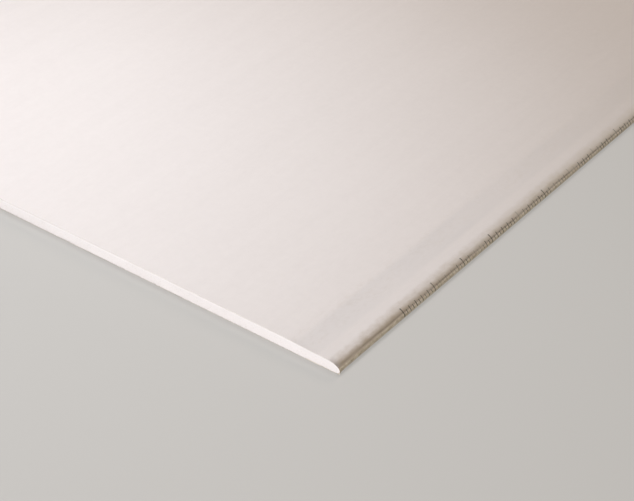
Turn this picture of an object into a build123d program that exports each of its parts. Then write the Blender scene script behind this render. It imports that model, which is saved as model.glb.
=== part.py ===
from build123d import *
import os
from math import cos, radians, sin

# Drywall sheet, lying face up on its back. X runs across the width, Y along the length and Z
# through the thickness. The origin is in the middle of the back, on the surface below the sheet.
# The long edges are tapered and end in a rounded nose that the face liner wraps. The short ends
# are sawn square, so the gypsum shows there. All sizes are in millimetres.

# The sheet
sheet_length = 2000.0
sheet_width = 1250.0
sheet_thickness = 12.5

# The paper liners
face_liner_thickness = 0.35
back_liner_thickness = 0.35
flap_width = 38.0  # from the sheet's long edge to the inner end of the folded flap
back_liner_setback = 20.0  # from the sheet's long edge to the back liner's own edge

# The taper: the face slopes down to a level ledge beside the nose
taper_width = 60.0  # from the sheet's long edge to where the slope begins
taper_depth = 1.1
ledge_width = 30.0  # from the sheet's long edge to where the slope ends
taper_blend_radius = 300.0

# The nose: three arcs that run into each other, from the ledge round to the back
shoulder_radius = 30.0
shoulder_turn = 15.0  # degrees
brow_radius = 12.0
brow_turn = 35.0  # degrees

# Worked out from the sizes above
half_width = sheet_width / 2
flap_bottom = back_liner_thickness
ledge_level = sheet_thickness - taper_depth
shoulder_end = radians(shoulder_turn)
brow_end = radians(shoulder_turn + brow_turn)
shoulder_drop = shoulder_radius * (1 - cos(shoulder_end))
brow_drop = brow_radius * (cos(shoulder_end) - cos(brow_end))
tip_drop = ledge_level - flap_bottom - shoulder_drop - brow_drop
tip_radius = tip_drop / (1 + cos(brow_end))
tip_turn = 180.0 - shoulder_turn - brow_turn
nose_length = (
    shoulder_radius * sin(shoulder_end)
    + brow_radius * (sin(brow_end) - sin(shoulder_end))
    + tip_radius * (1 - sin(brow_end))
)

os.makedirs("parts", exist_ok=True)

# Outline of everything that the face liner encloses, itself included. The right half is drawn
# from the middle of the face, over the taper and round the nose, to the middle of the back.
with BuildSketch() as wrapped_outline:
    with BuildLine():
        taper = FilletPolyline(
            (0, sheet_thickness),
            (half_width - taper_width, sheet_thickness),
            (half_width - ledge_width, ledge_level),
            (half_width - nose_length, ledge_level),
            radius=taper_blend_radius,
        )
        shoulder = JernArc(taper @ 1, (1, 0), shoulder_radius, -shoulder_turn)
        brow = JernArc(shoulder @ 1, shoulder % 1, brow_radius, -brow_turn)
        tip = JernArc(brow @ 1, brow % 1, tip_radius, -tip_turn)
        Line(tip @ 1, (0, flap_bottom))
        mirror(about=Plane.YZ)
    make_face()

# The core fills the liner. Between the two flaps it reaches down to the back liner.
with BuildSketch() as core_outline:
    add(wrapped_outline.sketch)
    offset(amount=-face_liner_thickness)
    with Locations((0, flap_bottom)):
        Rectangle(
            sheet_width - 2 * flap_width,
            face_liner_thickness,
            align=(Align.CENTER, Align.MIN),
        )

# Gypsum core: one cast slab, sawn square at both ends
with BuildPart() as gypsum_core:
    with BuildSketch(Plane.XZ):
        add(core_outline.sketch)
    extrude(amount=sheet_length / 2, both=True)

# Face liner: one paper over the face, round both noses and folded under as a flap on each side
with BuildPart() as face_liner:
    with BuildSketch(Plane.XZ):
        add(wrapped_outline.sketch)
        add(core_outline.sketch, mode=Mode.SUBTRACT)
    extrude(amount=sheet_length / 2, both=True)

# Back liner: a flat paper glued to the core and over both flaps
with BuildPart() as back_liner:
    Box(
        sheet_width - 2 * back_liner_setback,
        sheet_length,
        back_liner_thickness,
        align=(Align.CENTER, Align.CENTER, Align.MIN),
    )

gypsum_core.part.label = "gypsum_core"
export_step(gypsum_core.part, "parts/gypsum_core.step")

face_liner.part.label = "face_liner"
export_step(face_liner.part, "parts/face_liner.step")

back_liner.part.label = "back_liner"
export_step(back_liner.part, "parts/back_liner.step")
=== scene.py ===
import math
from collections import namedtuple

import bpy
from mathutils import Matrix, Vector, noise


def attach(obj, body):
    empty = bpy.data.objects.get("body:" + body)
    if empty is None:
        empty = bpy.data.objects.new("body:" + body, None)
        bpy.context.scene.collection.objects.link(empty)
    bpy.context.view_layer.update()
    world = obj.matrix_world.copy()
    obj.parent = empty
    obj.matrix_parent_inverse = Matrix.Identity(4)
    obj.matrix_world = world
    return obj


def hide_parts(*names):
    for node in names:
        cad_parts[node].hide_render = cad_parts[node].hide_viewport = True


# Drywall sheet lying on a floor. The sheet is laid out in millimetres, and MM turns them into metres.
# Materials, lamps and the camera are in metres.
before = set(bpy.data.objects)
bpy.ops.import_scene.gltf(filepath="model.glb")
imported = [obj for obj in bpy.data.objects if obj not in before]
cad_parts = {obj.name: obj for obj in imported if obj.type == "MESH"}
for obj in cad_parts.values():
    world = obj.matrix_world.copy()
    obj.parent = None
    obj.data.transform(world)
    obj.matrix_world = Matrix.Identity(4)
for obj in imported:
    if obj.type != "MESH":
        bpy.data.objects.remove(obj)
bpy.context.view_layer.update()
MM = 0.001

# The sheet's section, with the same sizes as the solids
SHEET_LENGTH = 2000.0
SHEET_WIDTH = 1250.0
SHEET_THICKNESS = 12.5
PAPER = 0.35
FLAP_WIDTH = 38.0
BACK_SETBACK = 20.0
TAPER_WIDTH = 60.0
TAPER_DEPTH = 1.1
LEDGE_WIDTH = 30.0
TAPER_BLEND = 300.0
SHOULDER_RADIUS = 30.0
SHOULDER_TURN = math.radians(15.0)
BROW_RADIUS = 12.0
BROW_TURN = math.radians(35.0)

# Worked out from the sizes above
HALF = SHEET_WIDTH / 2
END = SHEET_LENGTH / 2
LEDGE_LEVEL = SHEET_THICKNESS - TAPER_DEPTH
BROW_END = SHOULDER_TURN + BROW_TURN
SHOULDER_DROP = SHOULDER_RADIUS * (1 - math.cos(SHOULDER_TURN))
BROW_DROP = BROW_RADIUS * (math.cos(SHOULDER_TURN) - math.cos(BROW_END))
TIP_RADIUS = (LEDGE_LEVEL - PAPER - SHOULDER_DROP - BROW_DROP) / (1 + math.cos(BROW_END))
TIP_TURN = math.pi - BROW_END
NOSE = (
    SHOULDER_RADIUS * math.sin(SHOULDER_TURN)
    + BROW_RADIUS * (math.sin(BROW_END) - math.sin(SHOULDER_TURN))
    + TIP_RADIUS * (1 - math.sin(BROW_END))
)
SLOPE_RUN = TAPER_WIDTH - LEDGE_WIDTH
SLOPE = math.atan2(TAPER_DEPTH, SLOPE_RUN)
BLEND_REACH = TAPER_BLEND * math.tan(SLOPE / 2)


def wob(a, b, seed):
    """Smooth noise, about -1 to 1. A place divided by a length gives waves of that length, and seed
    picks the pattern."""
    return noise.noise(Vector((a, b, seed)))


def unit(value):
    """The value, held between 0 and 1."""
    return min(1.0, max(0.0, value))


def new_piece(name, verts, faces, smooth_angle):
    """A smooth object with these corners, given in millimetres, and these faces."""
    mesh = bpy.data.meshes.new(name)
    mesh.from_pydata([(x * MM, y * MM, z * MM) for x, y, z in verts], [], faces)
    mesh.validate()
    mesh.shade_smooth()
    mesh.set_sharp_from_angle(angle=math.radians(smooth_angle))
    obj = bpy.data.objects.new(name, mesh)
    bpy.context.scene.collection.objects.link(obj)
    return obj


# Distances between the spots of the wrap's outline
FACE_STEP = 28.0
TAPER_STEP = 4.0
LEDGE_STEP = 2.2
SHOULDER_STEP = 1.3
BROW_STEP = 0.36
TIP_STEP = 0.72
FLAP_STEP = 4.0

RIGHT = 1
LEFT = -1

# A spot's place, its outward normal, the length of outline before it, how far the outline has turned
# there, and its side of the sheet
Spot = namedtuple("Spot", "x z nx nz run turn side")


class Pen:
    """Draws the right half of the outline with straight lines and arcs, and keeps its spots."""

    def __init__(self, x, z):
        self.x, self.z, self.way, self.run = x, z, 0.0, 0.0
        self.spots = [Spot(x, z, 0.0, 1.0, 0.0, 0.0, RIGHT)]

    def put(self):
        nx, nz = math.sin(-self.way), math.cos(self.way)
        self.spots.append(Spot(self.x, self.z, nx, nz, self.run, -self.way, RIGHT))

    def line(self, length, step):
        n = max(1, round(length / step))
        for _ in range(n):
            self.x += length / n * math.cos(self.way)
            self.z += length / n * math.sin(self.way)
            self.run += length / n
            self.put()

    def arc(self, radius, turn, step):
        n = max(2, round(radius * abs(turn) / step))
        side = 1 if turn > 0 else -1
        cx = self.x - side * radius * math.sin(self.way)
        cz = self.z + side * radius * math.cos(self.way)
        for _ in range(n):
            self.way += turn / n
            self.x = cx + side * radius * math.sin(self.way)
            self.z = cz - side * radius * math.cos(self.way)
            self.run += radius * abs(turn) / n
            self.put()


# Outline of the wrap, from the middle of the face round the nose to the flap's end
pen = Pen(0.0, SHEET_THICKNESS)
pen.line(HALF - TAPER_WIDTH - BLEND_REACH, FACE_STEP)
pen.arc(TAPER_BLEND, -SLOPE, TAPER_STEP)
pen.line(SLOPE_RUN / math.cos(SLOPE) - 2 * BLEND_REACH, TAPER_STEP)
pen.arc(TAPER_BLEND, SLOPE, TAPER_STEP)
pen.line(LEDGE_WIDTH - BLEND_REACH - NOSE, LEDGE_STEP)
RUN_NOSE = pen.run
pen.arc(SHOULDER_RADIUS, -SHOULDER_TURN, SHOULDER_STEP)
pen.arc(BROW_RADIUS, -BROW_TURN, BROW_STEP)
pen.arc(TIP_RADIUS, -TIP_TURN, TIP_STEP)
RUN_BACK = pen.run
pen.line(FLAP_WIDTH - TIP_RADIUS, FLAP_STEP)
right_half = pen.spots

# Relief of the face liner: depths below the true outline, and the lengths over which they come and go
FACE_WAVE = 0.02
TAPER_WAVE = 0.07
TAPER_WAVE_START = 70.0  # before the nose
TAPER_WAVE_RISE = 12.0
TAPER_WAVE_FALL = 10.0
NOSE_DENT = 0.05
NOSE_DIMPLE = 0.02
NOSE_RELIEF_RISE = 5.0
NOSE_RELIEF_FALL = 3.0

# The crease along the middle of the nose: it sways in long and in short waves, and fades in and out
SHOULDER_LENGTH = SHOULDER_RADIUS * SHOULDER_TURN
CREASE_TURN = math.radians(26.0)  # past the shoulder
RUN_CREASE = RUN_NOSE + SHOULDER_LENGTH + BROW_RADIUS * CREASE_TURN
CREASE_DEPTH = 0.22
CREASE_WIDTH = 0.85
CREASE_RISE_AT_END = 0.2
CREASE_FALL = 0.6
CREASE_FALL_LENGTH = 260.0
CREASE_LONG_SWAY = 0.7
CREASE_SHORT_SWAY = 0.5
CREASE_STRENGTH = 0.85
CREASE_LONG_FADE = 0.7
CREASE_SHORT_FADE = 0.6

# The near right corner: a lip of loose paper low on the nose, and a small dent high on it
LIP_HEIGHT = 1.2
LIP_LENGTH = 6.0
LIP_PLACE = 138.0  # degrees round the nose
LIP_SPREAD = 17.0  # degrees
KNOCK_DEPTH = 0.24
KNOCK_PLACE = 3.2  # past the shoulder
KNOCK_WIDTH = 2.2
KNOCK_LENGTH = 2.6

# The ragged sawn edge of the paper
RAG = 0.10
RAG_SWING = 0.22
FIBRE_SWING = 0.12

# The face liner's rings along the length, and the share of the outline's spots that its inside keeps
RING_STEP = 7.0
FIRST_RING_STEP = 0.8
RING_STEP_GROWTH = 1.5
FLAT_STRIDE = 2
CURVED_STRIDE = 4
LINER_SMOOTH_ANGLE = 40


def crease(side, run, y):
    """How deep the pressed line along the middle of the nose is here, 0 to 1."""
    from_end = unit((END - abs(y)) / CREASE_FALL_LENGTH)
    middle = RUN_CREASE - CREASE_RISE_AT_END + CREASE_FALL * from_end
    middle += CREASE_LONG_SWAY * wob(0.3, y / 46, 9.9 + side)
    middle += CREASE_SHORT_SWAY * wob(0.7, y / 15, 4.9 + side)
    strength = CREASE_STRENGTH + CREASE_LONG_FADE * wob(0.1, y / 37, 6.6 + side)
    strength += CREASE_SHORT_FADE * wob(0.4, y / 17, 3.6 + side)
    return unit(strength) * math.exp(-(((run - middle) / CREASE_WIDTH) ** 2))


def lip(spot, y):
    """How far the loose end of the paper stands off the core."""
    reach = unit(1 - (y + END) / LIP_LENGTH)
    if spot.side == LEFT or reach == 0:
        return 0.0
    across = (math.degrees(spot.turn) - LIP_PLACE) / LIP_SPREAD
    return LIP_HEIGHT * reach ** 1.5 * math.exp(-(across ** 2))


def knock(side, run, y):
    """How deep the dent at the corner is here, 0 to 1."""
    across = (run - RUN_NOSE - SHOULDER_LENGTH - KNOCK_PLACE) / KNOCK_WIDTH
    along = (y + END) / KNOCK_LENGTH
    return math.exp(-(across ** 2) - along ** 2) if side == RIGHT else 0.0


def face_relief(side, run, y):
    """How far the paper's outside lies below the true outline, always 0 or more."""
    deep = FACE_WAVE + FACE_WAVE * wob(run / 90, y / 140, 3.1 + side)
    if run < RUN_NOSE - TAPER_WAVE_START:
        return deep
    past_nose = max(0.0, run - RUN_NOSE)
    taper = min(1.0, (run - RUN_NOSE + TAPER_WAVE_START) / TAPER_WAVE_RISE)
    taper *= max(0.0, 1 - past_nose / TAPER_WAVE_FALL)
    deep += taper * TAPER_WAVE * (1 + wob(run / 26, y / 70, 8.4 + side))
    if run > RUN_NOSE:
        in_nose = min(1.0, past_nose / NOSE_RELIEF_RISE) * unit((RUN_BACK - run) / NOSE_RELIEF_FALL)
        dents = NOSE_DENT * (1 + wob(run / 7, y / 32, 5.7 + side))
        dents += NOSE_DIMPLE * (1 + wob(run / 3, y / 9, 2.2 + side))
        wear = dents + CREASE_DEPTH * crease(side, run, y) + KNOCK_DEPTH * knock(side, run, y)
        deep += in_nose * wear
    return max(0.0, deep)


def ring_places():
    """Places along the length, closer together towards both ends."""
    from_end, y, step = [0.0], 0.0, FIRST_RING_STEP
    while y + step < END - RING_STEP / 2:
        y += step
        from_end.append(y)
        step = min(RING_STEP, step * RING_STEP_GROWTH)
    n_mid = max(1, round((2 * (END - y)) / RING_STEP))
    half = [-END + v for v in from_end]
    middle = [half[-1] + (2 * -half[-1]) * i / n_mid for i in range(1, n_mid)]
    return half + middle + [-v for v in reversed(half)]


def inside_spots(spots):
    """The spots that the paper's plainer inside keeps, both ends among them."""
    keep = {0, len(spots) - 1}
    for i, spot in enumerate(spots):
        curved = abs(spot.nz) < 0.999 and spot.run > RUN_NOSE - 1
        if i % (CURVED_STRIDE if curved else FLAT_STRIDE) == 0:
            keep.add(i)
    return [spots[i] for i in sorted(keep)]


# Outside of the face liner, from the left flap's end to the right one's, and its plainer inside
rings = ring_places()
outer = [s._replace(x=-s.x, nx=-s.nx, side=LEFT) for s in reversed(right_half[1:])] + right_half
inner = inside_spots(outer)
loop = len(outer) + len(inner)


def rag(k, spot, fibres):
    """How far the paper's edge lies back from the true end, at the first and the last ring."""
    if k not in (0, len(rings) - 1):
        return 0.0
    back = RAG + RAG_SWING * wob(spot.side * spot.run / 4.5, 0.5, 1.7 + k)
    if fibres:
        back += FIBRE_SWING * wob(spot.side * spot.run / 1.6, 0.2, 7.7 + k)
    return max(0.0, back)


def paper_corner(spot, y, depth, back):
    """A corner of the liner's mesh, this deep below the outline and this far back from the true end."""
    return (spot.x - spot.nx * depth, y + (back if y < 0 else -back), spot.z - spot.nz * depth)


def order_round(spot):
    """The spot's distance along the outline from the middle of the face, negative on the left."""
    return spot.run * spot.side


def end_cap(base, flip):
    """Faces that close the thin end of the paper between its outside and its inside."""
    caps = []
    i, j, n = 0, loop - 1, len(outer)
    while i < n - 1 or j > n:
        outside_remains = i < n - 1
        if outside_remains and (j == n or order_round(outer[i + 1]) <= order_round(inner[loop - j])):
            triangle = (base + i, base + i + 1, base + j)
            i += 1
        else:
            triangle = (base + i, base + j - 1, base + j)
            j -= 1
        caps.append(triangle if flip else triangle[::-1])
    return caps


# Face liner: each ring of corners runs along the outside and back along the inside
verts, faces = [], []
turns, creases, knocks = [], [], []
for k, y in enumerate(rings):
    for spot in outer:
        side, run = spot.side, spot.run
        depth = face_relief(side, run, y) - lip(spot, y)
        verts.append(paper_corner(spot, y, depth, rag(k, spot, True)))
        turns.append(spot.turn / math.pi)
        creases.append(crease(side, run, y) if run > RUN_NOSE else 0.0)
        knocks.append(knock(side, run, y))
    for spot in reversed(inner):
        verts.append(paper_corner(spot, y, PAPER - lip(spot, y), rag(k, spot, False)))
        turns.append(spot.turn / math.pi)
        creases.append(0.0)
        knocks.append(0.0)
for k in range(len(rings) - 1):
    a, b = k * loop, (k + 1) * loop
    for i in range(loop):
        j = (i + 1) % loop
        faces.append((a + i, a + j, b + j, b + i))
first_edge_face = len(faces)
faces += end_cap(0, False)
faces += end_cap((len(rings) - 1) * loop, True)
face_liner = new_piece("face_liner_wrap", verts, faces, LINER_SMOOTH_ANGLE)
for name, values in (("turn", turns), ("crease", creases), ("knock", knocks)):
    face_liner.data.attributes.new(name, "FLOAT", "POINT").data.foreach_set("value", values)


# Centres of the nose's three arcs, as the distance from the long edge and the height
SHOULDER_CENTRE = (NOSE, LEDGE_LEVEL - SHOULDER_RADIUS)
BROW_CENTRE = (
    SHOULDER_CENTRE[0] - (SHOULDER_RADIUS - BROW_RADIUS) * math.sin(SHOULDER_TURN),
    SHOULDER_CENTRE[1] + (SHOULDER_RADIUS - BROW_RADIUS) * math.cos(SHOULDER_TURN),
)
TIP_CENTRE = (TIP_RADIUS, PAPER + TIP_RADIUS)

# Grid of a sawn end: its columns are closer together at the core's tip, where it curves most
COLUMN = 1.15
ROWS = 10
TIP_COLUMNS = (0.02, 0.09, 0.2, 0.38, 0.62, 0.95, 1.35, 1.85, 2.45, 3.2, 4.1)  # from the tip

# The saw's marks: how far the gypsum lies back from the true end
SAW_SETBACK = 0.30
SAW_WAVE = 0.05
PIT_DEPTH = 0.55
PIT_START = 0.46
TIP_WEAR = 0.35
TIP_WEAR_REACH = 5.0
NEAR_SEED = 12.3
FAR_SEED = 31.9

# Rings behind each end, which keep fewer and fewer corners, and the plain stretches between the ends
RING_DEPTHS = (4.0, 14.0, 46.0)
TIP_STRIDES = (1, 2, 2)
TIP_STRIDE_REACH = 16.0
WIDE_STRIDE = 4
STRETCHES = 19
CORE_SMOOTH_ANGLE = 50


def circle_z(u, centre, radius, lower=False):
    """Height of a circle's upper or lower half at the distance u from the long edge."""
    height = math.sqrt(max(0.0, radius * radius - (u - centre[0]) ** 2))
    return centre[1] - height if lower else centre[1] + height


def core_top(u):
    """Height of the core's upper side at the distance u from the long edge."""
    if u >= NOSE:
        rise = SHEET_THICKNESS - PAPER
        if u >= TAPER_WIDTH + BLEND_REACH:
            return rise
        if u > TAPER_WIDTH - BLEND_REACH:
            r = TAPER_BLEND - PAPER
            return rise - r + math.sqrt(r * r - (TAPER_WIDTH + BLEND_REACH - u) ** 2)
        if u > LEDGE_WIDTH + BLEND_REACH:
            return rise - (TAPER_WIDTH - u) * math.tan(SLOPE)
        low = LEDGE_LEVEL - PAPER
        if u > LEDGE_WIDTH - BLEND_REACH:
            r = TAPER_BLEND + PAPER
            return low + r - math.sqrt(r * r - (u - LEDGE_WIDTH + BLEND_REACH) ** 2)
        return low
    if u >= SHOULDER_CENTRE[0] - (SHOULDER_RADIUS - PAPER) * math.sin(SHOULDER_TURN):
        return circle_z(u, SHOULDER_CENTRE, SHOULDER_RADIUS - PAPER)
    if u >= BROW_CENTRE[0] - (BROW_RADIUS - PAPER) * math.sin(BROW_END):
        return circle_z(u, BROW_CENTRE, BROW_RADIUS - PAPER)
    return circle_z(u, TIP_CENTRE, TIP_RADIUS - PAPER)


def core_bottom(u):
    """Height of the core's underside at the distance u from the long edge."""
    if u < TIP_RADIUS:
        return circle_z(u, TIP_CENTRE, TIP_RADIUS - PAPER, lower=True)
    return 2 * PAPER if u < FLAP_WIDTH else PAPER


def column_places():
    """Places of the columns across the whole width, from the left tip to the right one."""
    us = [PAPER + s for s in TIP_COLUMNS]
    last = us[-1]
    count = round((HALF - last) / COLUMN)
    us += [last + (HALF - last) * i / count for i in range(1, count + 1)]
    return [-(HALF - u) for u in us] + [HALF - u for u in reversed(us[:-1])]


core_verts, core_faces = [], []
columns = column_places()


def end_relief(x, z, seed):
    """How far the sawn gypsum lies back from the true end."""
    deep = SAW_SETBACK + SAW_WAVE * wob(x / 30, z / 12, seed)
    deep += SAW_WAVE * wob(x / 3.1, z / 3.1, seed + 3)
    pit = wob(x / 1.9, z / 1.7, seed + 11) + 0.5 * wob(x / 6.5, z / 5, seed + 17)
    deep += PIT_DEPTH * max(0.0, pit - PIT_START)
    tip = unit(1 - (HALF - abs(x)) / TIP_WEAR_REACH)
    return deep + TIP_WEAR * tip * tip


def end_grid(y_end, seed):
    """Adds a sawn end as a grid, and returns the loop of corners round its boundary."""
    base = len(core_verts)
    inward = 1 if y_end < 0 else -1
    for x in columns:
        u = HALF - abs(x)
        low, high = core_bottom(u), core_top(u)
        for r in range(ROWS + 1):
            z = low + (high - low) * r / ROWS
            core_verts.append((x, y_end + inward * end_relief(x, z, seed), z))
    last = len(columns) - 1
    for c in range(last):
        for r in range(ROWS):
            a = base + c * (ROWS + 1) + r
            square = (a, a + ROWS + 1, a + ROWS + 2, a + 1)
            core_faces.append(square if inward > 0 else square[::-1])

    def at(c, r):
        return base + c * (ROWS + 1) + r

    ring = [at(c, 0) for c in range(last + 1)]
    ring += [at(last, r) for r in range(1, ROWS)]
    ring += [at(c, ROWS) for c in range(last, -1, -1)]
    ring += [at(0, r) for r in range(ROWS - 1, 0, -1)]
    return ring


def thinner(ring, level):
    """Places in a ring that the next, plainer ring keeps."""
    places = []
    for i, corner in enumerate(ring):
        u = HALF - abs(core_verts[corner][0])
        stride = TIP_STRIDES[level] if u < TIP_STRIDE_REACH else WIDE_STRIDE
        at_flap = abs(u - FLAP_WIDTH) < COLUMN
        if i % stride == 0 or at_flap:
            places.append(i)
    return places


def copy_ring(corners, y):
    """Adds copies of these corners at y, and returns them as a ring."""
    base = len(core_verts)
    for corner in corners:
        x, _, z = core_verts[corner]
        core_verts.append((x, y, z))
    return list(range(base, base + len(corners)))


def stitch(ring, chosen, new, flip):
    """Faces between a ring and the plainer ring made from the chosen places in it."""
    for k in range(len(chosen)):
        start = chosen[k]
        stop = chosen[(k + 1) % len(chosen)]
        span = (stop - start) % len(ring)
        if span == 0:
            span = len(ring)
        run = [ring[(start + s) % len(ring)] for s in range(span + 1)]
        p, q = new[k], new[(k + 1) % len(new)]
        if span == 1:
            fan = [(run[0], p, q, run[1])]
        else:
            mid = span // 2
            fan = [(run[s], p, run[s + 1]) for s in range(mid)]
            fan.append((run[mid], p, q))
            fan += [(run[s], q, run[s + 1]) for s in range(mid, span)]
        for face in fan:
            core_faces.append(face[::-1] if flip else face)


def core_end(y_end, seed):
    """Adds a sawn end and the rings behind it, and returns the last ring."""
    inward = 1 if y_end < 0 else -1
    ring = end_grid(y_end, seed)
    for level, depth in enumerate(RING_DEPTHS):
        chosen = thinner(ring, level)
        new = copy_ring([ring[i] for i in chosen], y_end + inward * depth)
        stitch(ring, chosen, new, inward < 0)
        ring = new
    return ring


# Gypsum core
ring = core_end(-END, NEAR_SEED)
far_ring = core_end(END, FAR_SEED)
plain_start = -END + RING_DEPTHS[-1]
plain_length = 2 * (END - RING_DEPTHS[-1])
for k in range(1, STRETCHES + 1):
    new = far_ring if k == STRETCHES else copy_ring(ring, plain_start + plain_length * k / STRETCHES)
    for i in range(len(ring)):
        j = (i + 1) % len(ring)
        core_faces.append((ring[i], new[i], new[j], ring[j]))
    ring = new
core = new_piece("gypsum_core_slab", core_verts, core_faces, CORE_SMOOTH_ANGLE)

# Back liner: a thin closed sheet with a slightly wavy underside and wandering side edges
BACK_COLUMNS = 56
BACK_ROWS = 84
BACK_WAVE = 0.03
BACK_EDGE_WANDER = 0.22


def back_layer(top):
    """Corners of the back liner's upper side or its underside."""
    corners = []
    reach = HALF - BACK_SETBACK
    for j in range(BACK_ROWS + 1):
        y = -END + SHEET_LENGTH * j / BACK_ROWS
        for i in range(BACK_COLUMNS + 1):
            x = -reach + 2 * reach * i / BACK_COLUMNS
            if i in (0, BACK_COLUMNS):
                wander = BACK_EDGE_WANDER * (1 + wob(y / 60, i, 14.2))
                x += wander if i == 0 else -wander
            z = PAPER if top else BACK_WAVE * (1 + wob(x / 70, y / 90, 21.0))
            corners.append((x, y, z))
    return corners


def back_faces():
    """Faces of the back liner: its underside, its upper side and the narrow edge between them."""
    width = BACK_COLUMNS + 1
    layer = width * (BACK_ROWS + 1)
    squares = []
    for j in range(BACK_ROWS):
        for i in range(BACK_COLUMNS):
            a = j * width + i
            squares.append((a, a + width, a + width + 1, a + 1))
            squares.append((layer + a, layer + a + 1, layer + a + width + 1, layer + a + width))
    edge = list(range(BACK_COLUMNS))
    edge += [j * width + BACK_COLUMNS for j in range(BACK_ROWS)]
    edge += [BACK_ROWS * width + i for i in range(BACK_COLUMNS, 0, -1)]
    edge += [j * width for j in range(BACK_ROWS, 0, -1)]
    for k in range(len(edge)):
        a, b = edge[k], edge[(k + 1) % len(edge)]
        squares.append((a, b, layer + b, layer + a))
    return squares


underside = back_layer(top=False)
lowest = min(z for _, _, z in underside)
underside = [(x, y, z - lowest) for x, y, z in underside]
back_liner = new_piece(
    "back_liner_paper", underside + back_layer(top=True), back_faces(), LINER_SMOOTH_ANGLE
)


class Nodes:
    """A small helper that lays out a material's shader nodes and wires them up."""

    def __init__(self, name):
        self.mat = bpy.data.materials.new(name)
        self.mat.use_nodes = True
        self.tree = self.mat.node_tree
        self.tree.nodes.clear()
        self.out = self.tree.nodes.new("ShaderNodeOutputMaterial")
        self.bsdf = self.tree.nodes.new("ShaderNodeBsdfPrincipled")
        self.tree.links.new(self.bsdf.outputs[0], self.out.inputs[0])
        self.coord = self.tree.nodes.new("ShaderNodeTexCoord").outputs["Object"]

    def plug(self, value, socket):
        if isinstance(value, bpy.types.NodeSocket):
            self.tree.links.new(value, socket)
        else:
            socket.default_value = value

    def math(self, op, a, b=0.0, clamp=False):
        n = self.tree.nodes.new("ShaderNodeMath")
        n.operation, n.use_clamp = op, clamp
        self.plug(a, n.inputs[0])
        self.plug(b, n.inputs[1])
        return n.outputs[0]

    def plus(self, first, *others):
        total = first
        for other in others:
            total = self.math("ADD", total, other)
        return total

    def times(self, first, *others):
        product = first
        for other in others:
            product = self.math("MULTIPLY", product, other)
        return product

    def mapped(self, stretch, place):
        n = self.tree.nodes.new("ShaderNodeMapping")
        self.plug(self.coord, n.inputs[0])
        n.inputs["Location"].default_value = place
        n.inputs["Scale"].default_value = stretch
        return n.outputs[0]

    def noise(self, scale, detail, rough, stretch=(1, 1, 1), place=(0, 0, 0)):
        """Noise of 0 to 1 with this many waves to the metre. place picks another part of it."""
        n = self.tree.nodes.new("ShaderNodeTexNoise")
        self.plug(self.mapped(stretch, place), n.inputs["Vector"])
        n.inputs["Scale"].default_value = scale
        n.inputs["Detail"].default_value = detail
        n.inputs["Roughness"].default_value = rough
        return n.outputs["Fac"]

    def cells(self, scale, stretch=(1, 1, 1), place=(0, 0, 0)):
        """Distance from the middle of the nearest of scattered cells, this many to the metre."""
        n = self.tree.nodes.new("ShaderNodeTexVoronoi")
        self.plug(self.mapped(stretch, place), n.inputs["Vector"])
        n.inputs["Scale"].default_value = scale
        return n.outputs["Distance"]

    def ramp(self, value, low, high, to_low=0.0, to_high=1.0, soft=False):
        """The value, carried over from the range low to high into to_low to to_high."""
        n = self.tree.nodes.new("ShaderNodeMapRange")
        n.interpolation_type = "SMOOTHSTEP" if soft else "LINEAR"
        self.plug(value, n.inputs[0])
        for number, socket in zip((low, high, to_low, to_high), n.inputs[1:5]):
            self.plug(number, socket)
        return n.outputs[0]

    def mix(self, fac, a, b):
        n = self.tree.nodes.new("ShaderNodeMix")
        n.data_type = "RGBA"
        self.plug(fac, n.inputs[0])
        self.plug(a, n.inputs[6])
        self.plug(b, n.inputs[7])
        return n.outputs[2]

    def xyz(self):
        n = self.tree.nodes.new("ShaderNodeSeparateXYZ")
        self.plug(self.coord, n.inputs[0])
        return n.outputs

    def gap(self, reach, place):
        """Distance in from the sheet's own edge, which lies at plus and minus reach."""
        return self.math("SUBTRACT", reach * MM, self.math("ABSOLUTE", place))

    def read(self, name):
        """A number that the mesh carries in each corner."""
        n = self.tree.nodes.new("ShaderNodeAttribute")
        n.attribute_name = name
        return n.outputs["Fac"]

    def finish(self, colour, rough, specular, height, bump_depth):
        """Wires the colour, roughness and bump into the shader, and returns the material."""
        n = self.tree.nodes.new("ShaderNodeBump")
        n.inputs["Distance"].default_value = bump_depth
        self.plug(height, n.inputs["Height"])
        self.plug(colour, self.bsdf.inputs["Base Color"])
        self.plug(rough, self.bsdf.inputs["Roughness"])
        self.bsdf.inputs["Specular IOR Level"].default_value = specular
        self.plug(n.outputs[0], self.bsdf.inputs["Normal"])
        return self.mat


def rgb(r, g, b):
    return (r, g, b, 1.0)


def paper_grain(m, fine_share):
    """Fibres that mostly lie along the sheet's length, as a height of 0 to 1."""
    fine = m.noise(900, 2, 0.6, stretch=(1, 0.35, 1))
    coarse = m.noise(260, 3, 0.55, stretch=(1, 0.5, 1), place=(3, 1, 0))
    return m.plus(m.times(fine, fine_share), m.times(coarse, 1 - fine_share))


def plain_ivory(m, mottle):
    """The face's own tone, with faint clouds, streaks, mottling and fibres."""
    cloud = m.noise(2.6, 3, 0.5)
    streak = m.noise(9, 4, 0.6, stretch=(6, 0.35, 1), place=(0, 2, 0))
    fibre = m.noise(520, 2, 0.7, stretch=(1, 0.22, 1), place=(5, 0, 0))
    tone = m.plus(
        m.ramp(cloud, 0.3, 0.7, -0.5, 0.5),
        m.ramp(streak, 0.3, 0.7, -0.4, 0.4),
        m.ramp(mottle, 0.3, 0.7, -0.45, 0.45),
        m.ramp(fibre, 0.35, 0.75, -0.35, 0.35),
    )
    return m.mix(m.ramp(tone, -1.6, 1.6), rgb(0.836, 0.780, 0.760), rgb(0.896, 0.840, 0.820))


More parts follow.
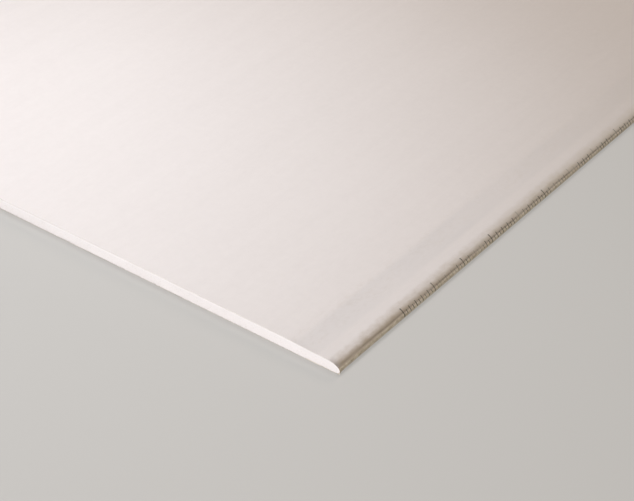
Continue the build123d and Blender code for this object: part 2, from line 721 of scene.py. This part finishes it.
def shaded_slope(m, edge_gap, end_gap, paint):
    """The slope of the taper, painted a little greyer as painted shade of the slope, most of all near
    the sawn ends.
    """
    slope_mottle = m.noise(26, 4, 0.6, stretch=(1, 0.3, 1), place=(4, 7, 0))
    # Painted shade along the taper's slope, stronger near the sawn ends
    share = m.times(
        m.ramp(edge_gap, 0.021, 0.028, soft=True),
        m.ramp(edge_gap, 0.0545, 0.0465, soft=True),
        m.ramp(end_gap, 0.20, 0.55, 1.0, 0.45),
        m.ramp(slope_mottle, 0.3, 0.7, 0.3, 0.9),
    )
    return m.mix(share, paint, rgb(0.800, 0.755, 0.742))


def nose_painted_light_and_shade(m, turn, patch, end_gap, paint):
    """The nose's painted light and shade: tan painted shade with a warm bounce tint above, lighter cream
    below and a pale rim lowest down as painted light, all paler far from the sawn ends. turn is 0 on
    the face, 0.5 at the silhouette and 1 on the back."""
    far_from_ends = m.ramp(end_gap, 0.03, 0.56)
    dapple = m.noise(250, 3, 0.6, stretch=(1, 0.6, 1), place=(2, 6, 4))
    pale_share = m.ramp(dapple, 0.37, 0.61)

    wander = m.plus(
        turn,
        m.ramp(patch, -0.8, 0.8, -0.017, 0.017),
        m.ramp(dapple, 0.35, 0.65, -0.015, 0.015),
    )
    uneven = m.ramp(patch, -0.8, 0.8, 0.80, 1.12)
    # The tan is painted shade with a painted warm bounce tint, deepest near the sawn ends
    tan_share = m.math("MULTIPLY", m.ramp(wander, 0.008, 0.175), uneven, clamp=True)
    tan_share = m.times(tan_share, m.ramp(turn, 0.0, 0.02))
    tan = m.mix(far_from_ends, rgb(0.495, 0.403, 0.308), rgb(0.76, 0.692, 0.610))
    paint = m.mix(tan_share, paint, tan)

    # The cream below the crease is painted light from below, with patchy pale tone
    uneven = m.ramp(patch, -0.8, 0.8, 0.65, 1.15)
    cream_share = m.math("MULTIPLY", m.ramp(turn, 0.24, 0.295, soft=True), uneven, clamp=True)
    dull_cream = m.mix(far_from_ends, rgb(0.655, 0.555, 0.42), rgb(0.755, 0.665, 0.535))
    pale_cream = m.mix(far_from_ends, rgb(0.89, 0.79, 0.63), rgb(0.94, 0.85, 0.72))
    paint = m.mix(cream_share, paint, m.mix(pale_share, dull_cream, pale_cream))

    # The pale rim lowest down is painted light from below, in place of light that the floor's contact
    # shadow takes
    lowest = m.mix(pale_share, rgb(0.755, 0.69, 0.575), rgb(0.95, 0.885, 0.77))
    return m.mix(m.ramp(turn, 0.42, 0.62), paint, lowest)


def dark_crease(m, paint):
    """Painted shade, partly dirt, in the crease and in the dent at the corner."""
    crease_patchiness = m.noise(170, 3, 0.65, stretch=(1, 0.6, 1), place=(3, 2, 2))
    line = m.times(m.read("crease"), m.ramp(crease_patchiness, 0.35, 0.62, 0.55, 0.92))
    dent = m.times(m.read("knock"), 0.8)
    # Darkens the crease and the dent: painted shade, partly dirt
    return m.mix(m.math("MAXIMUM", line, dent), paint, rgb(0.33, 0.275, 0.21))


def shaded_scuffed_ends(m, turn, patch, end_gap, paint):
    """The shoulder right at the sawn ends, painted grey: painted shade of the brow at the ends, partly
    scuffing.
    """
    end_shade_and_scuff = m.times(
        m.ramp(end_gap, 0.0075, 0.0005),
        m.ramp(turn, 0.004, 0.05),
        m.ramp(patch, -0.7, 0.7, 0.35, 1.0),
        m.ramp(turn, 0.26, 0.20),
    )
    # Painted shade, partly scuffing, on the shoulder at the sawn ends
    return m.mix(m.times(end_shade_and_scuff, 0.75), paint, rgb(0.50, 0.465, 0.45))


def pale_specks(m, turn, paint):
    """Specks of loose fibre and gypsum dust low on the nose."""
    near = m.cells(330, stretch=(1, 0.6, 1))
    where = m.noise(75, 2, 0.5, place=(0, 9, 2))
    speck = m.times(m.ramp(near, 0.32, 0.16), m.ramp(where, 0.47, 0.54), m.ramp(turn, 0.24, 0.30))
    return m.mix(m.times(speck, 0.75), paint, rgb(0.90, 0.86, 0.78))


# The scale of tick marks along the right nose, in metres: the distance from tick to tick, half the
# width of a line, and the heights of its foot and its top. Short each 5 mm, longer each 10 mm and
# longest each 50 mm.
TICKS = (
    (0.005, 0.00052, 0.0046, 0.0080),
    (0.010, 0.00058, 0.0038, 0.0090),
    (0.050, 0.00070, 0.0030, 0.0102),
)
TICK_SIDE_BLUR = 0.00008
TICK_END_BLUR = 0.0002
INK_BLEED = 0.00012
SCALE_START = -0.9035
SCALE_SIDE = 0.6  # the scale lies beyond this x
WHOLE_STEPS = 10.0  # added to y, so that the ticks' pattern meets no change of sign


def tick_scale(m, x, y, z, paint):
    """Tick marks in worn ink along one edge."""
    bleed = m.ramp(m.noise(900, 2, 0.6, place=(2, 2, 2)), 0.2, 0.8, -INK_BLEED, INK_BLEED)
    along = m.plus(y, WHOLE_STEPS)
    ink = 0.0
    for spacing, half_line, foot, top in TICKS:
        off_line = m.plus(m.math("PINGPONG", along, spacing / 2), bleed)
        tick = m.times(
            m.ramp(off_line, half_line + TICK_SIDE_BLUR, half_line - TICK_SIDE_BLUR),
            m.ramp(z, foot, foot + TICK_END_BLUR),
            m.ramp(z, top, top - TICK_END_BLUR),
        )
        ink = m.math("MAXIMUM", ink, tick)
    on_right = m.math("GREATER_THAN", x, SCALE_SIDE)
    past_start = m.math("GREATER_THAN", y, SCALE_START)
    thin = m.ramp(m.noise(420, 3, 0.7, place=(4, 4, 1)), 0.3, 0.62, 0.55, 0.90)
    worn = m.ramp(m.noise(34, 2, 0.5, stretch=(0.2, 1, 0.2), place=(5, 2, 6)), 0.42, 0.54, 0.30, 1.0)
    return m.mix(m.times(ink, on_right, past_start, thin, worn), paint, rgb(0.062, 0.052, 0.044))


def face_paper():
    """Ivory paper: its plain tone, then painted shade on the taper, painted light and shade on the nose,
    then the ink.
    """
    m = Nodes("ivory_liner_paper")
    x, y, z = m.xyz()
    edge_gap = m.gap(HALF, x)
    end_gap = m.gap(END, y)
    turn = m.read("turn")
    mottle = m.noise(130, 4, 0.62)
    wide_patches = m.noise(42, 5, 0.65, stretch=(1, 0.45, 1), place=(1, 7, 0))
    small_patches = m.noise(120, 4, 0.6, stretch=(1, 0.5, 1), place=(8, 3, 0))
    # Patches that make the nose's painted light and shade and the ends' painted shade uneven
    patch = m.plus(m.ramp(wide_patches, 0.3, 0.7, -0.5, 0.5), m.ramp(small_patches, 0.3, 0.7, -0.5, 0.5))
    paint = plain_ivory(m, mottle)
    # Painted shade on the taper's slope
    paint = shaded_slope(m, edge_gap, end_gap, paint)
    # Painted shade and painted light round the nose
    paint = nose_painted_light_and_shade(m, turn, patch, end_gap, paint)
    # Painted shade, partly dirt, in the crease and the dent
    paint = dark_crease(m, paint)
    # Painted shade, partly scuffing, at the sawn ends
    paint = shaded_scuffed_ends(m, turn, patch, end_gap, paint)
    paint = pale_specks(m, turn, paint)
    paint = tick_scale(m, x, y, z, paint)
    rough = m.ramp(mottle, 0.3, 0.7, 0.78, 0.9)
    return m.finish(paint, rough, 0.3, paper_grain(m, 0.5), 0.00006)


def paper_edge():
    """The paper's plies, bare at its sawn ends."""
    m = Nodes("liner_cut_edge")
    ply = m.noise(700, 3, 0.6, stretch=(0.4, 1, 2.5))
    paint = m.mix(ply, rgb(0.60, 0.565, 0.52), rgb(0.76, 0.725, 0.68))
    return m.finish(paint, 0.95, 0.2, m.noise(1500, 2, 0.6), 0.0001)


def gypsum():
    """White gypsum with faint clouds, grain and open pores, the pores painted darker as painted shade in
    their pits.
    """
    m = Nodes("cast_gypsum")
    cloud = m.noise(22, 3, 0.55)
    grain = m.noise(620, 3, 0.65)
    where = m.noise(210, 2, 0.5, place=(7, 0, 3))
    pore = m.times(m.ramp(m.cells(620), 0.30, 0.16), m.ramp(where, 0.46, 0.60))
    tone = m.plus(m.ramp(cloud, 0.3, 0.7, -0.5, 0.5), m.ramp(grain, 0.3, 0.7, -0.5, 0.5))
    paint = m.mix(m.ramp(tone, -1, 1), rgb(0.848, 0.820, 0.824), rgb(0.908, 0.886, 0.898))
    # Pores painted darker: painted shade in their pits
    paint = m.mix(m.times(pore, 0.45), paint, rgb(0.60, 0.56, 0.52))
    height = m.math("SUBTRACT", m.times(grain, 0.6), pore)
    return m.finish(paint, 0.95, 0.2, height, 0.00018)


def flecks(m, near, where, share, colour, paint):
    """Scattered flecks of another colour, in patches."""
    fleck = m.times(near, m.ramp(where, 0.55, 0.62))
    return m.mix(m.times(fleck, share), paint, colour)


def grey_paper():
    """Grey-brown recycled paper with dark and pale flecks."""
    m = Nodes("grey_liner_paper")
    _, y, _ = m.xyz()
    cloud = m.noise(3.2, 3, 0.5)
    streak = m.noise(11, 4, 0.6, stretch=(6, 0.35, 1), place=(0, 2, 0))
    mottle = m.noise(160, 4, 0.65)
    tone = m.plus(
        m.ramp(cloud, 0.3, 0.7, -0.5, 0.5),
        m.ramp(streak, 0.3, 0.7, -0.4, 0.4),
        m.ramp(mottle, 0.3, 0.7, -0.6, 0.6),
    )
    paint = m.mix(m.ramp(tone, -1.5, 1.5), rgb(0.36, 0.325, 0.285), rgb(0.46, 0.42, 0.375))
    dark = m.ramp(m.cells(420, stretch=(1, 0.5, 1)), 0.22, 0.12)
    paint = flecks(m, dark, m.noise(160, 2, 0.5, place=(3, 3, 3)), 0.6, rgb(0.17, 0.16, 0.155), paint)
    pale = m.ramp(m.cells(300, stretch=(1, 0.3, 1), place=(6, 1, 0)), 0.2, 0.1)
    paint = flecks(m, pale, m.noise(140, 2, 0.5, place=(8, 1, 3)), 0.5, rgb(0.62, 0.59, 0.55), paint)
    # Gypsum dust on the sawn edges
    uneven = m.ramp(m.noise(300, 3, 0.6, place=(1, 4, 4)), 0.3, 0.6, 0.55, 0.95)
    dust = m.times(m.ramp(m.gap(END, y), 0.0006, 0.0001), uneven)
    paint = m.mix(dust, paint, rgb(0.84, 0.81, 0.79))
    rough = m.ramp(mottle, 0.3, 0.7, 0.82, 0.95)
    return m.finish(paint, rough, 0.25, paper_grain(m, 0.4), 0.0001)


BACKDROP = rgb(0.60, 0.585, 0.56)


def seen_directly(tree):
    """1 for what the camera sees, straight or in a reflection, and 0 for light that falls on things."""
    path = tree.nodes.new("ShaderNodeLightPath")
    total = path.outputs["Is Camera Ray"]
    for name in ("Is Glossy Ray", "Is Transmission Ray"):
        n = tree.nodes.new("ShaderNodeMath")
        n.operation = "MAXIMUM"
        tree.links.new(total, n.inputs[0])
        tree.links.new(path.outputs[name], n.inputs[1])
        total = n.outputs[0]
    return total


def floor_paint():
    """Pale and plain: lit and shaded near the sheet, and fading into the backdrop's tone far from it."""
    m = Nodes("pale_floor")
    soft = m.noise(1.7, 3, 0.5)
    m.plug(m.mix(soft, rgb(0.62, 0.595, 0.57), rgb(0.65, 0.625, 0.60)), m.bsdf.inputs["Base Color"])
    m.bsdf.inputs["Roughness"].default_value = 0.9
    m.bsdf.inputs["Specular IOR Level"].default_value = 0.2
    x, y, _ = m.xyz()
    far = m.math("SQRT", m.plus(m.times(x, x), m.times(y, y)))
    backdrop_share = m.ramp(far, 1.25, 3.0, 0.6, 1.0, soft=True)
    even = m.tree.nodes.new("ShaderNodeEmission")
    even.inputs["Color"].default_value = BACKDROP
    blend = m.tree.nodes.new("ShaderNodeMixShader")
    m.plug(m.times(seen_directly(m.tree), backdrop_share), blend.inputs[0])
    m.plug(m.bsdf.outputs[0], blend.inputs[1])
    m.plug(even.outputs[0], blend.inputs[2])
    m.plug(blend.outputs[0], m.out.inputs[0])
    return m.mat


# The face liner has its own paint, and another one on its two sawn ends
face_liner.data.materials.append(face_paper())
face_liner.data.materials.append(paper_edge())
for polygon in face_liner.data.polygons[first_edge_face:]:
    polygon.material_index = 1
core.data.materials.append(gypsum())
back_liner.data.materials.append(grey_paper())

for piece, node, slot in (
    (face_liner, "face_liner", "ivory_paper"),
    (core, "gypsum_core", "gypsum"),
    (back_liner, "back_liner", "grey_paper"),
):
    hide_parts(node)
    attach(piece, "root")

# Floor
FLOOR_REACH = 30
corners = [(x * FLOOR_REACH, y * FLOOR_REACH, 0) for x, y in ((-1, -1), (1, -1), (1, 1), (-1, 1))]
mesh = bpy.data.meshes.new("floor")
mesh.from_pydata(corners, [], [(0, 1, 2, 3)])
floor = bpy.data.objects.new("floor", mesh)
bpy.context.scene.collection.objects.link(floor)
floor.data.materials.append(floor_paint())


def lamp(name, place, aim, size, watts, colour, spread):
    """A soft round lamp. spread is the angle of its cone in degrees."""
    data = bpy.data.lights.new(name, "AREA")
    data.shape, data.size, data.energy, data.color = "DISK", size, watts, colour
    data.spread = math.radians(spread)
    obj = bpy.data.objects.new(name, data)
    obj.location = place
    obj.rotation_mode = "QUATERNION"
    obj.rotation_quaternion = (Vector(aim) - Vector(place)).to_track_quat("-Z", "Y")
    obj.visible_camera = False
    bpy.context.scene.collection.objects.link(obj)


# One lamp over the near part, a narrow one in front for the cut end, and one for the far half
lamp(
    "key", place=(0.168, -0.683, 1.219), aim=(-0.423, -1.767, 0.0),
    size=0.8, watts=9.22, colour=(0.876, 0.923, 1.0), spread=135.1,
)
lamp(
    "front", place=(0.4, -7.0, 1.10), aim=(1.2, -1.0, 0.0),
    size=1.6, watts=31.5, colour=(1.0, 0.97, 0.965), spread=60.0,
)
lamp(
    "back", place=(-0.077, 2.943, 2.452), aim=(-0.234, 0.236, 0.0),
    size=1.4, watts=28.77, colour=(1.0, 0.904, 0.824), spread=113.5,
)

# World: a faint warm light all round, seen by the camera as the plain backdrop
AROUND_COLOUR = rgb(1.0, 0.92, 0.80)
AROUND_STRENGTH = 0.22
world = bpy.data.worlds.new("studio")
bpy.context.scene.world = world
world.use_nodes = True
tree = world.node_tree
tree.nodes.clear()
around = tree.nodes.new("ShaderNodeBackground")
around.inputs["Color"].default_value = AROUND_COLOUR
around.inputs["Strength"].default_value = AROUND_STRENGTH
plain = tree.nodes.new("ShaderNodeBackground")
plain.inputs["Color"].default_value = BACKDROP
choose = tree.nodes.new("ShaderNodeMixShader")
tree.links.new(seen_directly(tree), choose.inputs[0])
tree.links.new(around.outputs[0], choose.inputs[1])
tree.links.new(plain.outputs[0], choose.inputs[2])
world_out = tree.nodes.new("ShaderNodeOutputWorld")
tree.links.new(choose.outputs[0], world_out.inputs[0])

# Camera, at the photograph's viewing angle
FOCAL_PIXELS = 1595.99
IMAGE_WIDTH = 634.0
AZIMUTH = math.radians(37.5602)
ELEVATION = math.radians(35.6004)
CAMERA_PLACE = (1.266961, -1.867706, 0.908012)
NEAREST_SEEN = 0.05
FARTHEST_SEEN = 100.0
camera_data = bpy.data.cameras.new("camera")
camera_data.sensor_width = 36.0
camera_data.lens = FOCAL_PIXELS / IMAGE_WIDTH * camera_data.sensor_width
camera_data.clip_start, camera_data.clip_end = NEAREST_SEEN, FARTHEST_SEEN
camera = bpy.data.objects.new("camera", camera_data)
towards_camera = Vector((
    math.sin(AZIMUTH) * math.cos(ELEVATION),
    -math.cos(AZIMUTH) * math.cos(ELEVATION),
    math.sin(ELEVATION),
))
camera.location = CAMERA_PLACE
camera.rotation_mode = "QUATERNION"
camera.rotation_quaternion = (-towards_camera).to_track_quat("-Z", "Y")
bpy.context.scene.collection.objects.link(camera)
bpy.context.scene.camera = camera
bpy.context.scene.view_settings.view_transform = "Standard"
